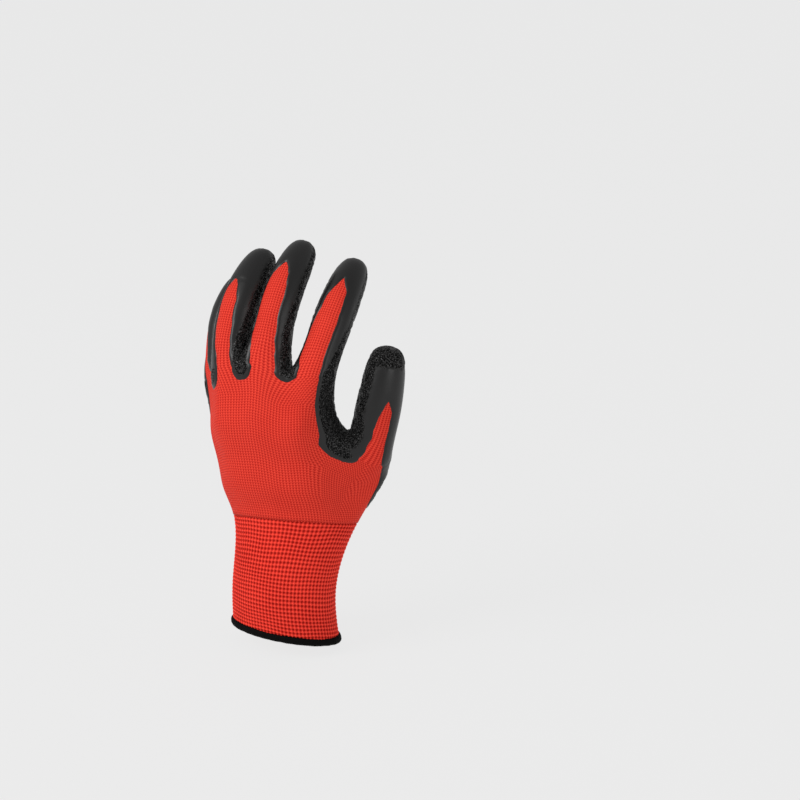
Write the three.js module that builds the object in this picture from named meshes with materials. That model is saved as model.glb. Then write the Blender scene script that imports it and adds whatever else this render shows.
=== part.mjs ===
import * as THREE from "three";

// Latex coated grip glove for the left hand, in millimetres.
// Fingers point up (+Z), the back of the hand faces minus Y and the thumb is at plus X.
// The origin is the middle of the cuff's mouth, where the wrist goes in.

// Wall thicknesses and the air between neighbouring pieces.
const SHELL_WALL = 1.2;
const CUFF_WALL = 1.8;
const LATEX_WALL = 0.8;
const PIECE_GAP = 0.3;

// A ring of corners shrinks by this share when it is smoothed, so it starts larger.
const RING_SHRINK = (4 + 2 * Math.cos(Math.PI / 4)) / 6;
const WRIST_SHRINK = (4 + 2 * Math.cos(Math.PI / 12)) / 6;

// A row for each finger. x, y and z place the middle of its root, length runs to the tip.
// facing is the direction of its back, turn how far that has turned at the tip, lean goes to the
// thumb side, tilt to the palm at the root, and curl is what its joints add. Angles in degrees.
const FINGERS = {
  little: {
    x: -39.3, y: -7.3, z: 157, length: 66.5, width: 19.4, depth: 20.4,
    facing: -33, turn: 0, lean: -16, tilt: 2.5, curl: 35,
  },
  ring: {
    x: -23.9, y: -28, z: 172.3, length: 78.5, width: 22, depth: 20.2,
    facing: -13, turn: 6, lean: -4, tilt: 12, curl: 42,
  },
  middle: {
    x: 2.8, y: -27.7, z: 176.6, length: 83.4, width: 21.4, depth: 20.5,
    facing: 2.5, turn: -1, lean: 2, tilt: 16, curl: 39.5,
  },
  index: {
    x: 31.5, y: -22, z: 170.8, length: 81, width: 21.5, depth: 22.4,
    facing: 13, turn: 1, lean: 13.5, tilt: 20, curl: 34.5,
  },
  thumb: {
    x: 53.2, y: 4.4, z: 116.4, length: 71.5, width: 25.5, depth: 23.4,
    facing: 42, turn: 27, lean: 9.9, tilt: -9, curl: 7.5,
  },
};

// Sections along a finger: share of its length, then its width and depth there against the root's.
const FINGER_SECTIONS = [
  { along: 0, width: 1.02, depth: 1.06 },
  { along: 0.2, width: 0.95, depth: 1.02 },
  { along: 0.45, width: 1.02, depth: 1.02 },
  { along: 0.66, width: 0.96, depth: 0.94 },
  { along: 0.84, width: 0.86, depth: 0.86 },
  { along: 0.96, width: 0.62, depth: 0.6 },
];

// The bends at the knuckle and the two joints: where they lie and their share of the curl.
const JOINTS = [
  { along: 0, share: 0.18 },
  { along: 0.4, share: 0.5 },
  { along: 0.7, share: 0.32 },
];
const JOINT_REACH = 0.12;
const SPINE_STEPS = 32;

// The oval ring where the hand joins the cuff, and how far it slopes down along x and y.
const WRIST = {
  x: 5, y: 2.8, z: 74,
  halfWidth: 40.4, halfDepth: 26.6,
  slopeX: -0.08, slopeY: 0.27,
};
const MOUTH = { slopeX: 0.06, slopeY: 0.16 };

// Rings of the cuff: height as a share of the way up from the mouth, the middle's place as a share
// of the wrist's half width, and width and depth as shares of the wrist's.
const CUFF_RINGS = [
  { height: 0.7, x: 0.07, y: -0.092, width: 0.842, depth: 0.988 },
  { height: 0.36, x: -0.002, y: -0.183, width: 0.814, depth: 0.966 },
  { height: 0, x: 0, y: -0.08, width: 0.866, depth: 0.947 },
];

// How the rows between the wrist and the finger roots swell outwards, in millimetres.
const HAND_ROWS = 5;
const SWELL = {
  back: [0, 5.9, 1, 3.8, -1.7, 0],
  sides: [0, 1.5, 2.6, 0.6, -3.4, 0],
  palm: [0, -2.2, 0, 0, 0.2, 0],
  thumbBack: [0, -4.9, -6.3, 0],
  thumbSide: [0, 1, 6, 0],
  thumbPalm: [0, 4.6, 2.2, 1.5],
};
const HAND_RISE = { x: -0.08, y: -0.23, z: 1 };
const HAND_PULL = 0.85;
const THUMB_RISE = { x: 0.29, y: 0.17, z: 0.92 };
const THUMB_PULL = 0.75;
const THUMB_ROWS = 3;

// The skin between thumb and index, and how deep the skin between each two fingers lies below the
// line between their roots.
const CROTCH = {
  back: new THREE.Vector3(40, -17, 133),
  palm: new THREE.Vector3(40, 4, 131.5),
  middle: new THREE.Vector3(41, -6, 137),
  above: new THREE.Vector3(42, -12, 147),
};
const WEBS = [
  { back: 1.5, palm: 1, middle: -7 },
  { back: 1.5, palm: 1, middle: -7 },
  { back: 9, palm: 9, middle: 10 },
];

// The tongue of bare knit on each finger's back: share of the length it reaches, half its width
// and how far its middle lies from the finger's, towards the thumb side, past the root and at it.
const TONGUES = {
  little: { reach: 0.72, half: 6, shift: -2, rootHalf: 3.5, rootShift: 4 },
  ring: { reach: 0.8, half: 7, shift: 0, rootHalf: 3.5, rootShift: 3 },
  middle: { reach: 0.88, half: 8.5, shift: -2, rootHalf: 4.5, rootShift: 0.5 },
  index: { reach: 0.9, half: 8.5, shift: -3, rootHalf: 5, rootShift: 0 },
  thumb: { reach: 0.85, half: 5.5, shift: -1, rootHalf: 5, rootShift: 2 },
};
// Heights on the hand above which the latex covers each direction, and the most its value gets.
const LATEX_FROM = {
  S0: { from: 98, most: 10 },
  D0: { from: 128, most: 10 },
  D2: { from: 147, most: 10 },
  D4: { from: 161, most: 7 },
  D6: { from: 163, most: 7 },
  D8: { from: 115, most: 8 },
  D10: { from: 113, most: 6 },
  S1: { from: 94, most: 10 },
  P10: { from: 84, most: 10 },
  P9: { from: 80, most: 10 },
  P8: { from: 75, most: 10 },
  P7: { from: 71.5, most: 10 },
  P6: { from: 69.5, most: 10 },
  P5: { from: 69, most: 10 },
  P4: { from: 69, most: 10 },
  P3: { from: 69, most: 10 },
  P2: { from: 69.5, most: 10 },
  P1: { from: 74, most: 10 },
  P0: { from: 83, most: 10 },
};
const COAT_LIMIT = 10;

// The black edge that wraps the cuff's end.
const HEM_HEIGHT = 4.4;
const HEM_WALL = 0.9;
const HEM_UNDER = 0.8;

const KNIT_RED = 0xca372d;
const CUFF_RED = 0xcc3a30;
const LATEX_BLACK = 0x2a2625;
const HEM_BLACK = 0x141110;

const FINGER_ORDER = ["little", "ring", "middle", "index"];
const rad = THREE.MathUtils.degToRad;
const { smoothstep, clamp, lerp } = THREE.MathUtils;

// Column names run round the hand: S0 is the little finger's side, D the back, S1 the thumb's side
// and P the palm. M is the skin between thumb and index.
const BACK_COLUMNS = Array.from({ length: 11 }, (_, i) => `D${i}`);
const PALM_COLUMNS = Array.from({ length: 11 }, (_, i) => `P${10 - i}`);
const LOW_COLUMNS = ["S0", ...BACK_COLUMNS, "S1", ...PALM_COLUMNS];
const HIGH_COLUMNS = ["S0", ...BACK_COLUMNS.slice(0, 9), "M", ...PALM_COLUMNS.slice(2)];

const COLUMN_STEP = 360 / LOW_COLUMNS.length;
const columnAngle = (name) => rad(-180 + COLUMN_STEP * LOW_COLUMNS.indexOf(name));
const fingerOf = (number) => FINGER_ORDER[Math.min(3, Math.floor(number / 2))];

// Directions across, outwards and along a finger at a share of its length.
function fingerFrame(finger, along) {
  const facing = rad(finger.facing + finger.turn * along);
  const passed = (at) => smoothstep(along, at - JOINT_REACH, at + JOINT_REACH);
  const bent = JOINTS.reduce((sum, joint) => sum + joint.share * passed(joint.along), 0);
  const tilt = rad(finger.tilt + finger.curl * bent);
  const lean = rad(finger.lean);
  const back = new THREE.Vector3(Math.sin(facing), -Math.cos(facing), 0);
  const side = new THREE.Vector3(Math.cos(facing), Math.sin(facing), 0);
  const up = new THREE.Vector3(0, 0, 1);
  const rise = up.clone().multiplyScalar(Math.cos(lean)).addScaledVector(side, Math.sin(lean));
  const across = side.clone().multiplyScalar(Math.cos(lean)).addScaledVector(up, -Math.sin(lean));
  const out = back.clone().multiplyScalar(Math.cos(tilt)).addScaledVector(rise, Math.sin(tilt));
  const forward = rise.clone().multiplyScalar(Math.cos(tilt)).addScaledVector(back, -Math.sin(tilt));
  return { across, out, forward };
}

// The middle line of a finger, in equal steps from its root to its tip.
function fingerSpine(finger) {
  const points = [new THREE.Vector3(finger.x, finger.y, finger.z)];
  for (let i = 0; i < SPINE_STEPS; i++) {
    const { forward } = fingerFrame(finger, (i + 0.5) / SPINE_STEPS);
    points.push(points[i].clone().addScaledVector(forward, finger.length / SPINE_STEPS));
  }
  return (along) => {
    const place = along * SPINE_STEPS;
    const i = Math.min(SPINE_STEPS - 1, Math.floor(place));
    return points[i].clone().lerp(points[i + 1], place - i);
  };
}

// Signed distance on a finger from the edge of its bare tongue, positive under the latex.
function fingerCoat(name, along, corner) {
  const finger = FINGERS[name];
  const tongue = TONGUES[name];
  const girth = (Math.PI * (finger.width + finger.depth)) / 2;
  const shift = along > 0 ? tongue.shift : tongue.rootShift;
  const aside = Math.abs(((corner - 2) * girth) / 8 - shift);
  const reach = Math.min(1, along / tongue.reach);
  const half = along > 0 ? tongue.half * Math.sqrt(1 - reach * reach) : tongue.rootHalf;
  const past = Math.max(0, along - tongue.reach) * finger.length;
  return Math.min(COAT_LIMIT, Math.hypot(aside, past) - half);
}

// Eight corners round a finger at each of its sections, and its tip.
function fingerRings(name) {
  const finger = FINGERS[name];
  const spine = fingerSpine(finger);
  const rings = FINGER_SECTIONS.map((section) => {
    const { across, out } = fingerFrame(finger, section.along);
    const halfWidth = (finger.width / 2) * (section.width / RING_SHRINK);
    const halfDepth = (finger.depth / 2) * (section.depth / RING_SHRINK);
    return Array.from({ length: 8 }, (_, corner) => {
      const turn = Math.PI - (Math.PI / 4) * corner;
      const point = spine(section.along)
        .addScaledVector(across, halfWidth * Math.cos(turn))
        .addScaledVector(out, halfDepth * Math.sin(turn));
      return { point, coat: fingerCoat(name, section.along, corner) };
    });
  });
  const tip = { point: spine(1), coat: COAT_LIMIT };
  return { rings, tip, forward: fingerFrame(finger, 0).forward };
}

const hermite = (from, leave, to, arrive, share) => {
  const s2 = share * share;
  const s3 = s2 * share;
  return from
    .clone()
    .multiplyScalar(2 * s3 - 3 * s2 + 1)
    .addScaledVector(leave, s3 - 2 * s2 + share)
    .addScaledVector(to, -2 * s3 + 3 * s2)
    .addScaledVector(arrive, s3 - s2);
};

const oval = (ring, name) => ({
  x: ring.x + (ring.halfWidth / WRIST_SHRINK) * Math.cos(columnAngle(name)),
  y: ring.y + (ring.halfDepth / WRIST_SHRINK) * Math.sin(columnAngle(name)),
});
const wristHeight = ({ x, y }) => WRIST.z - WRIST.slopeX * x - WRIST.slopeY * y;
const mouthHeight = ({ x, y }) => -MOUTH.slopeX * x - MOUTH.slopeY * y;
const average = (a, b) => a.clone().add(b).multiplyScalar(0.5);

const handCoat = (name, point) => {
  const edge = LATEX_FROM[name];
  return edge ? clamp(point.z - edge.from, -COAT_LIMIT, edge.most) : -COAT_LIMIT;
};

// The coarse net of the glove: corners with a coat value, and four sided faces named by piece.
function gloveNet() {
  const corners = [];
  const faces = [];
  const corner = ({ point, coat }) => corners.push({ point, coat }) - 1;
  const face = (piece, ...ring) => faces.push({ piece, ring });
  const names = Object.keys(FINGERS);
  const shapes = Object.fromEntries(names.map((name) => [name, fingerRings(name)]));
  const root = (name, at) => shapes[name].rings[0][at];

  // The finger roots give the hand's top row.
  const top = { S0: root("little", 0), D0: root("little", 1), P0: root("little", 7) };
  FINGER_ORDER.forEach((name, i) => {
    top[`D${2 * i + 1}`] = root(name, 2);
    top[`P${2 * i + 1}`] = root(name, 6);
  });
  top.D8 = root("index", 3);
  top.M = root("index", 4);
  top.P8 = root("index", 5);
  const dips = [];
  for (let i = 0; i < 3; i++) {
    const [left, right] = [FINGER_ORDER[i], FINGER_ORDER[i + 1]];
    const dip = (a, b, drop) => {
      const point = average(root(left, a).point, root(right, b).point);
      point.z -= drop;
      return { point, coat: COAT_LIMIT };
    };
    top[`D${2 * i + 2}`] = dip(3, 1, WEBS[i].back);
    top[`P${2 * i + 2}`] = dip(5, 7, WEBS[i].palm);
    dips.push(corner(dip(4, 0, WEBS[i].middle)));
  }

  // Rows of the hand run from the wrist ring to the finger roots along smooth curves.
  const grid = {};
  const swellOf = (name) => {
    if (name === "S0" || name === "D0" || name === "P0") return SWELL.sides;
    return name.startsWith("D") ? SWELL.back : SWELL.palm;
  };
  const wristPoint = (name) => {
    const { x, y } = oval(WRIST, name);
    return new THREE.Vector3(x, y, wristHeight({ x, y }));
  };
  const run = (name, to, arrive, rise, pull, rows, swell) => {
    const from = wristPoint(name);
    const far = from.distanceTo(to);
    const leave = new THREE.Vector3(rise.x, rise.y, rise.z).multiplyScalar(far);
    for (let row = 0; row <= rows; row++) {
      const point = hermite(from, leave, to, arrive.clone().multiplyScalar(far * pull), row / rows);
      point.x += swell[row] * Math.cos(columnAngle(name));
      point.y += swell[row] * Math.sin(columnAngle(name));
      grid[`${name} ${row}`] = { point, coat: handCoat(name, point) };
    }
  };
  for (const name of HIGH_COLUMNS) {
    if (name === "M") continue;
    const number = name === "S0" ? 0 : Number(name.slice(1));
    const lower = fingerOf(Math.max(0, number - 1));
    const arrive = average(shapes[lower].forward, shapes[fingerOf(number)].forward);
    run(name, top[name].point, arrive, HAND_RISE, HAND_PULL, HAND_ROWS, swellOf(name));
    grid[`${name} ${HAND_ROWS}`].coat = top[name].coat;
  }
  const thumbSwell = {
    D9: "thumbBack",
    D10: "thumbBack",
    S1: "thumbSide",
    P10: "thumbPalm",
    P9: "thumbPalm",
  };
  Object.entries(thumbSwell).forEach(([name, kind], i) => {
    const to = root("thumb", i + 2).point;
    run(name, to, shapes.thumb.forward, THUMB_RISE, THUMB_PULL, THUMB_ROWS, SWELL[kind]);
    grid[`${name} ${THUMB_ROWS}`].coat = root("thumb", i + 2).coat;
  });
  grid["D8 3"].point = CROTCH.back;
  grid["D8 3"].coat = handCoat("D8", CROTCH.back);
  grid["P8 3"].point = CROTCH.palm;
  grid["M 3"] = { point: CROTCH.middle, coat: COAT_LIMIT };
  grid["M 4"] = { point: CROTCH.above, coat: COAT_LIMIT };
  grid["M 5"] = top.M;

  const at = Object.fromEntries(Object.entries(grid).map(([key, value]) => [key, corner(value)]));
  const band = (columns, row) =>
    columns.forEach((name, i) => {
      const next = columns[(i + 1) % columns.length];
      const [low, high] = [row, row + 1];
      face("hand", at[`${name} ${low}`], at[`${next} ${low}`], at[`${next} ${high}`], at[`${name} ${high}`]);
    });
  for (let row = 0; row < THUMB_ROWS; row++) band(LOW_COLUMNS, row);
  for (let row = THUMB_ROWS; row < HAND_ROWS; row++) band(HIGH_COLUMNS, row);

  // The cuff goes down from the wrist ring.
  let above = LOW_COLUMNS.map((name) => at[`${name} 0`]);
  for (const ring of CUFF_RINGS) {
    const shape = {
      x: ring.x * WRIST.halfWidth,
      y: ring.y * WRIST.halfWidth,
      halfWidth: ring.width * WRIST.halfWidth,
      halfDepth: ring.depth * WRIST.halfDepth,
    };
    const below = LOW_COLUMNS.map((name) => {
      const place = oval(shape, name);
      const z = lerp(mouthHeight(place), wristHeight(place), ring.height);
      return corner({ point: new THREE.Vector3(place.x, place.y, z), coat: -COAT_LIMIT });
    });
    below.forEach((id, i) => {
      const next = (i + 1) % below.length;
      face("cuff", id, below[next], above[next], above[i]);
    });
    above = below;
  }

  // The fingers stand on rings of eight corners of the hand's rows.
  const foot = {
    little: ["S0 5", "D0 5", "D1 5", "D2 5", dips[0], "P2 5", "P1 5", "P0 5"],
    ring: [dips[0], "D2 5", "D3 5", "D4 5", dips[1], "P4 5", "P3 5", "P2 5"],
    middle: [dips[1], "D4 5", "D5 5", "D6 5", dips[2], "P6 5", "P5 5", "P4 5"],
    index: [dips[2], "D6 5", "D7 5", "D8 5", "M 5", "P8 5", "P7 5", "P6 5"],
    thumb: ["M 3", "D8 3", "D9 3", "D10 3", "S1 3", "P10 3", "P9 3", "P8 3"],
  };
  for (const [name, shape] of Object.entries(shapes)) {
    let ring = foot[name].map((key) => (typeof key === "string" ? at[key] : key));
    for (const section of shape.rings.slice(1)) {
      const next = section.map(corner);
      ring.forEach((id, i) => face(name, id, ring[(i + 1) % 8], next[(i + 1) % 8], next[i]));
      ring = next;
    }
    const tip = corner(shape.tip);
    for (let i = 0; i < 8; i += 2) face(name, ring[i], ring[i + 1], ring[(i + 2) % 8], tip);
  }
  return { corners, faces };
}

const edgeKey = (a, b) => (a < b ? `${a} ${b}` : `${b} ${a}`);
const addTo = (sum, value, weight) => {
  sum.point.addScaledVector(value.point, weight);
  sum.coat += value.coat * weight;
};
const zero = () => ({ point: new THREE.Vector3(), coat: 0 });

// The neighbours of each corner: faces, edges, and edges on the open rim.
function neighbours({ corners, faces }) {
  const edges = new Map();
  const around = corners.map(() => ({ faces: [], edges: [], rim: [] }));
  faces.forEach(({ ring }, f) => {
    ring.forEach((a, i) => {
      const b = ring[(i + 1) % 4];
      const key = edgeKey(a, b);
      if (!edges.has(key)) edges.set(key, { a, b, faces: [] });
      edges.get(key).faces.push(f);
      around[a].faces.push(f);
    });
  });
  for (const edge of edges.values()) {
    for (const [from, to] of [[edge.a, edge.b], [edge.b, edge.a]]) {
      around[from].edges.push(to);
      if (edge.faces.length === 1) around[from].rim.push(to);
    }
  }
  return { edges, around };
}

// One round of smoothing that cuts every face in four and rounds the corners.
function smooth(net) {
  const { edges, around } = neighbours(net);
  const middles = net.faces.map(({ ring }) => {
    const sum = zero();
    ring.forEach((id) => addTo(sum, net.corners[id], 1 / 4));
    return sum;
  });
  const corners = net.corners.map((value, id) => {
    const near = around[id];
    const sum = zero();
    if (near.rim.length) {
      addTo(sum, value, 3 / 4);
      near.rim.forEach((other) => addTo(sum, net.corners[other], 1 / 8));
      return sum;
    }
    const n = near.edges.length;
    near.faces.forEach((f) => addTo(sum, middles[f], 1 / (n * n)));
    near.edges.forEach((other) => addTo(sum, net.corners[other], 1 / (n * n)));
    addTo(sum, value, (n - 2) / n);
    return sum;
  });
  const faceCorner = middles.map((value) => corners.push(value) - 1);
  const edgeCorner = new Map();
  for (const [key, edge] of edges) {
    const sum = zero();
    const weight = edge.faces.length === 2 ? 1 / 4 : 1 / 2;
    addTo(sum, net.corners[edge.a], weight);
    addTo(sum, net.corners[edge.b], weight);
    if (edge.faces.length === 2) edge.faces.forEach((f) => addTo(sum, middles[f], 1 / 4));
    edgeCorner.set(key, corners.push(sum) - 1);
  }
  const faces = [];
  net.faces.forEach(({ piece, ring }, f) => {
    ring.forEach((id, i) => {
      const after = edgeCorner.get(edgeKey(id, ring[(i + 1) % 4]));
      const before = edgeCorner.get(edgeKey(id, ring[(i + 3) % 4]));
      faces.push({ piece, ring: [id, after, faceCorner[f], before] });
    });
  });
  return { corners, faces };
}

// Puts each corner where endless smoothing would put it.
function settle(net) {
  const { around } = neighbours(net);
  return net.corners.map((value, id) => {
    const near = around[id];
    const sum = zero();
    if (near.rim.length) {
      addTo(sum, value, 2 / 3);
      near.rim.forEach((other) => addTo(sum, net.corners[other], 1 / 6));
      return sum;
    }
    const n = near.edges.length;
    const share = 1 / (n * (n + 5));
    addTo(sum, value, n * n * share);
    near.edges.forEach((other) => addTo(sum, net.corners[other], 4 * share));
    near.faces.forEach((f) => {
      const { ring } = net.faces[f];
      addTo(sum, net.corners[ring[(ring.indexOf(id) + 2) % 4]], share);
    });
    return sum;
  });
}

// Outward directions at the corners, from the faces around them.
function outwards(points, triangles) {
  const normals = points.map(() => new THREE.Vector3());
  for (const ids of triangles) {
    const [a, b, c] = ids.map((id) => points[id].point);
    const normal = b.clone().sub(a).cross(c.clone().sub(a));
    ids.forEach((id) => normals[id].add(normal));
  }
  return normals.map((normal) => normal.normalize());
}

const solidFrom = (positions) => {
  const place = new THREE.Float32BufferAttribute(positions, 3);
  return new THREE.BufferGeometry().setAttribute("position", place);
};

// A closed wall between two offsets of a patch of triangles.
function wall(triangles, place, outer, inner) {
  const positions = [];
  const put = (id, offset) => positions.push(...place(id, offset).toArray());
  const open = new Map();
  for (const [a, b, c] of triangles) {
    [a, b, c].forEach((id) => put(id, outer));
    [a, c, b].forEach((id) => put(id, inner));
    for (const [from, to] of [[a, b], [b, c], [c, a]]) {
      if (!open.delete(`${to} ${from}`)) open.set(`${from} ${to}`, [from, to]);
    }
  }
  for (const [from, to] of open.values()) {
    put(from, outer);
    put(from, inner);
    put(to, outer);
    put(to, outer);
    put(from, inner);
    put(to, inner);
  }
  return solidFrom(positions);
}

function mesh(name, geometry, colour, roughness) {
  const material = new THREE.MeshStandardMaterial({ color: colour, roughness, metalness: 0 });
  const made = new THREE.Mesh(geometry, material);
  made.name = name;
  return made;
}

const net = smooth(gloveNet());
const skin = settle(net);
const halves = ({ ring: [a, b, c, d] }) => [[a, b, c], [a, c, d]];
const normals = outwards(skin, net.faces.flatMap(halves));
const isCuff = ({ piece }) => piece === "cuff";
const handFaces = net.faces.filter((face) => !isCuff(face));
const cuffFaces = net.faces.filter(isCuff);

// Hand and cuff share a ring of corners, which is parted by the gap.
const handCorners = new Set(handFaces.flatMap(({ ring }) => ring));
const shared = new Set(cuffFaces.flatMap(({ ring }) => ring).filter((id) => handCorners.has(id)));
const offsetPoint = (lift) => (id, offset) => {
  const point = skin[id].point.clone().addScaledVector(normals[id], offset);
  if (shared.has(id)) point.z += lift;
  return point;
};
const shell = wall(handFaces.flatMap(halves), offsetPoint(PIECE_GAP / 2), 0, -SHELL_WALL);
const cuff = wall(cuffFaces.flatMap(halves), offsetPoint(-PIECE_GAP / 2), 0, -CUFF_WALL);

// The latex covers the part of the skin whose coat value is positive. Triangles are cut where the
// value passes zero, so that its edge is a smooth line over the knit.
const CUT_MARGIN = 0.1;
function latexPatch() {
  const places = new Map();
  const cut = (a, b) => {
    const key = edgeKey(a, b);
    if (!places.has(key)) {
      const share = skin[a].coat / (skin[a].coat - skin[b].coat);
      places.set(key, { a, b, share: clamp(share, CUT_MARGIN, 1 - CUT_MARGIN) });
    }
    return key;
  };
  const triangles = [];
  for (const corners of handFaces.flatMap(halves)) {
    const kept = [];
    corners.forEach((a, i) => {
      const b = corners[(i + 1) % 3];
      if (skin[a].coat > 0) kept.push(a);
      if (skin[a].coat > 0 !== skin[b].coat > 0) kept.push(cut(a, b));
    });
    for (let i = 1; i + 1 < kept.length; i++) triangles.push([kept[0], kept[i], kept[i + 1]]);
  }
  const onSkin = offsetPoint(PIECE_GAP / 2);
  const place = (id, offset) => {
    if (typeof id === "number") return onSkin(id, offset);
    const { a, b, share } = places.get(id);
    return onSkin(a, offset).lerp(onSkin(b, offset), share);
  };
  return { triangles, place };
}
const latexSkin = latexPatch();
const latex = wall(latexSkin.triangles, latexSkin.place, PIECE_GAP + LATEX_WALL, PIECE_GAP);

// The hem is a channel round the cuff's lower rim: outer side, underside, inner side.
function hemChannel() {
  const { around } = neighbours({ corners: skin, faces: net.faces });
  const rim = [];
  let id = skin.findIndex((_, i) => around[i].rim.length);
  let before = -1;
  while (!rim.includes(id)) {
    rim.push(id);
    const next = around[id].rim.find((other) => other !== before);
    before = id;
    id = next;
  }
  const outside = PIECE_GAP + HEM_WALL;
  const inside = -CUFF_WALL - PIECE_GAP - HEM_WALL;
  const profile = [
    [PIECE_GAP, HEM_HEIGHT],
    [outside, HEM_HEIGHT - HEM_WALL / 2],
    [outside, 0],
    [0, -PIECE_GAP - HEM_UNDER],
    [-CUFF_WALL, -PIECE_GAP - HEM_UNDER],
    [inside, 0],
    [inside, HEM_HEIGHT],
    [inside + HEM_WALL, HEM_HEIGHT],
    [-CUFF_WALL - PIECE_GAP, -PIECE_GAP],
    [PIECE_GAP, -PIECE_GAP],
  ];
  const rings = rim.map((corner) => {
    const base = skin[corner].point;
    const above = around[corner].edges.find((other) => !around[corner].rim.includes(other));
    const up = skin[above].point.clone().sub(base).normalize();
    const place = (out, high) => base.clone().addScaledVector(normals[corner], out).addScaledVector(up, high);
    return profile.map(([out, high]) => place(out, high));
  });
  const positions = [];
  const turned = rings[1][0].clone().sub(rings[0][0]).cross(rings[0][0]).z < 0;
  rings.forEach((ring, i) => {
    const next = rings[(i + 1) % rings.length];
    ring.forEach((point, j) => {
      const k = (j + 1) % profile.length;
      const quad = turned ? [ring[j], ring[k], next[k], next[j]] : [ring[j], next[j], next[k], ring[k]];
      [0, 1, 2, 0, 2, 3].forEach((q) => positions.push(...quad[q].toArray()));
    });
  });
  return solidFrom(positions);
}

const glove = new THREE.Group();
glove.name = "grip_glove";
glove.add(
  mesh("knit_shell", shell, KNIT_RED, 0.85),
  mesh("latex_coating", latex, LATEX_BLACK, 0.55),
  mesh("knit_cuff", cuff, CUFF_RED, 0.85),
  mesh("cuff_hem", hemChannel(), HEM_BLACK, 0.8),
);

export default glove;
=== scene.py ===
# %% [markdown]
# # Latex coated grip glove for the left hand
# A knitted red glove whose palm and fingertips were dipped in black latex. Four pieces make it:
# the knit shell, the latex coat on it, the ribbed elastic cuff and the black edge round its mouth.
# The frame from the CAD comes first, because every piece has to sit where its solid sits.

# %% The frame and its box
import math

import bpy
import numpy as np
from mathutils import Matrix, Vector


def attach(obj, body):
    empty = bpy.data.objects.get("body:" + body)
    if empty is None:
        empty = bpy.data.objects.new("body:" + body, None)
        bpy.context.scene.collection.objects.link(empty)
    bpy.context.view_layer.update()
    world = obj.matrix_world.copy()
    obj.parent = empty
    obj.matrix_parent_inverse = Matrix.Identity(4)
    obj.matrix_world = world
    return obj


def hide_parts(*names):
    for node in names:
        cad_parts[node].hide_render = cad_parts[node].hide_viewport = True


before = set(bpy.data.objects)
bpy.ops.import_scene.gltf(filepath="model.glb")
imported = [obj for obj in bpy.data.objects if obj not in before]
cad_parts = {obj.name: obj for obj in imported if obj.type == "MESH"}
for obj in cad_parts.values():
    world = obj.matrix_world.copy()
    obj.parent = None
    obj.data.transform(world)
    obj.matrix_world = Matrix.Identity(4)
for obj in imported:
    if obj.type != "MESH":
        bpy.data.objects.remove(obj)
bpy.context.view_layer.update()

MM = 0.001

# %% [markdown]
# ## The camera
# The photograph looks at the back of the hand from the thumb's side and a little from above. A long
# lens keeps the glove almost free of perspective. Turning a target empty would work as well, but
# two angles, a distance and the point aimed at say the same in four numbers.

# %% A camera from two angles
AZIMUTH, ELEVATION = math.radians(26.6), math.radians(16.0)
DISTANCE = 1378 * MM
AIM = Vector((44.1, 65.9, 136.4)) * MM


def photo_camera():
    """The camera's axes are right, up and back, where back = (sin a cos e, -cos a cos e, sin e)."""
    sin_a, cos_a = math.sin(AZIMUTH), math.cos(AZIMUTH)
    sin_e, cos_e = math.sin(ELEVATION), math.cos(ELEVATION)
    right = Vector((cos_a, sin_a, 0))
    up = Vector((-sin_a * sin_e, cos_a * sin_e, cos_e))
    back = Vector((sin_a * cos_e, -cos_a * cos_e, sin_e))
    data = bpy.data.cameras.new("photo_camera")
    data.lens, data.sensor_width = 100, 36
    camera = bpy.data.objects.new("photo_camera", data)
    bpy.context.scene.collection.objects.link(camera)
    turned = Matrix((right, up, back)).transposed().to_4x4()
    camera.matrix_world = Matrix.Translation(AIM + back * DISTANCE) @ turned
    bpy.context.scene.camera = camera
    return camera


print("camera at", tuple(round(v, 3) for v in photo_camera().location))

# %% [markdown]
# ## Floor and light
# The glove stands in front of an even pale grey with hardly any shadow, as on a light table. So the
# floor glows a little by itself, and one large soft lamp from the upper left gives the knuckles and
# the ribs their shade. A sky of one grey fills the rest.

# %% Pale floor, grey sky and two soft lamps
PALE = (0.831, 0.831, 0.831, 1)


def node_tree(material):
    """A material's nodes and links, emptied, with its output."""
    material.use_nodes = True
    tree = material.node_tree
    tree.nodes.clear()
    return tree, tree.nodes.new("ShaderNodeOutputMaterial")


def pale_floor(size=20, drop=8 * MM):
    """A square plane below the cuff that mixes its own glow with a little soft shadow."""
    half = size / 2
    mesh = bpy.data.meshes.new("pale_floor")
    z = -drop
    mesh.from_pydata([(-half, -half, z), (half, -half, z), (half, half, z), (-half, half, z)], [], [(0, 1, 2, 3)])
    floor = bpy.data.objects.new("pale_floor", mesh)
    bpy.context.scene.collection.objects.link(floor)
    material = bpy.data.materials.new("pale_floor")
    tree, out = node_tree(material)
    glow = tree.nodes.new("ShaderNodeEmission")
    glow.inputs["Color"].default_value = PALE
    matt = tree.nodes.new("ShaderNodeBsdfDiffuse")
    matt.inputs["Color"].default_value = PALE
    mix = tree.nodes.new("ShaderNodeMixShader")
    mix.inputs[0].default_value = 0.06
    tree.links.new(glow.outputs[0], mix.inputs[1])
    tree.links.new(matt.outputs[0], mix.inputs[2])
    tree.links.new(mix.outputs[0], out.inputs["Surface"])
    mesh.materials.append(material)


def grey_sky(strength):
    """A world of one grey."""
    world = bpy.data.worlds.new("grey_sky")
    bpy.context.scene.world = world
    world.use_nodes = True
    sky = world.node_tree.nodes["Background"]
    sky.inputs["Color"].default_value = PALE
    sky.inputs["Strength"].default_value = strength


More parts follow.
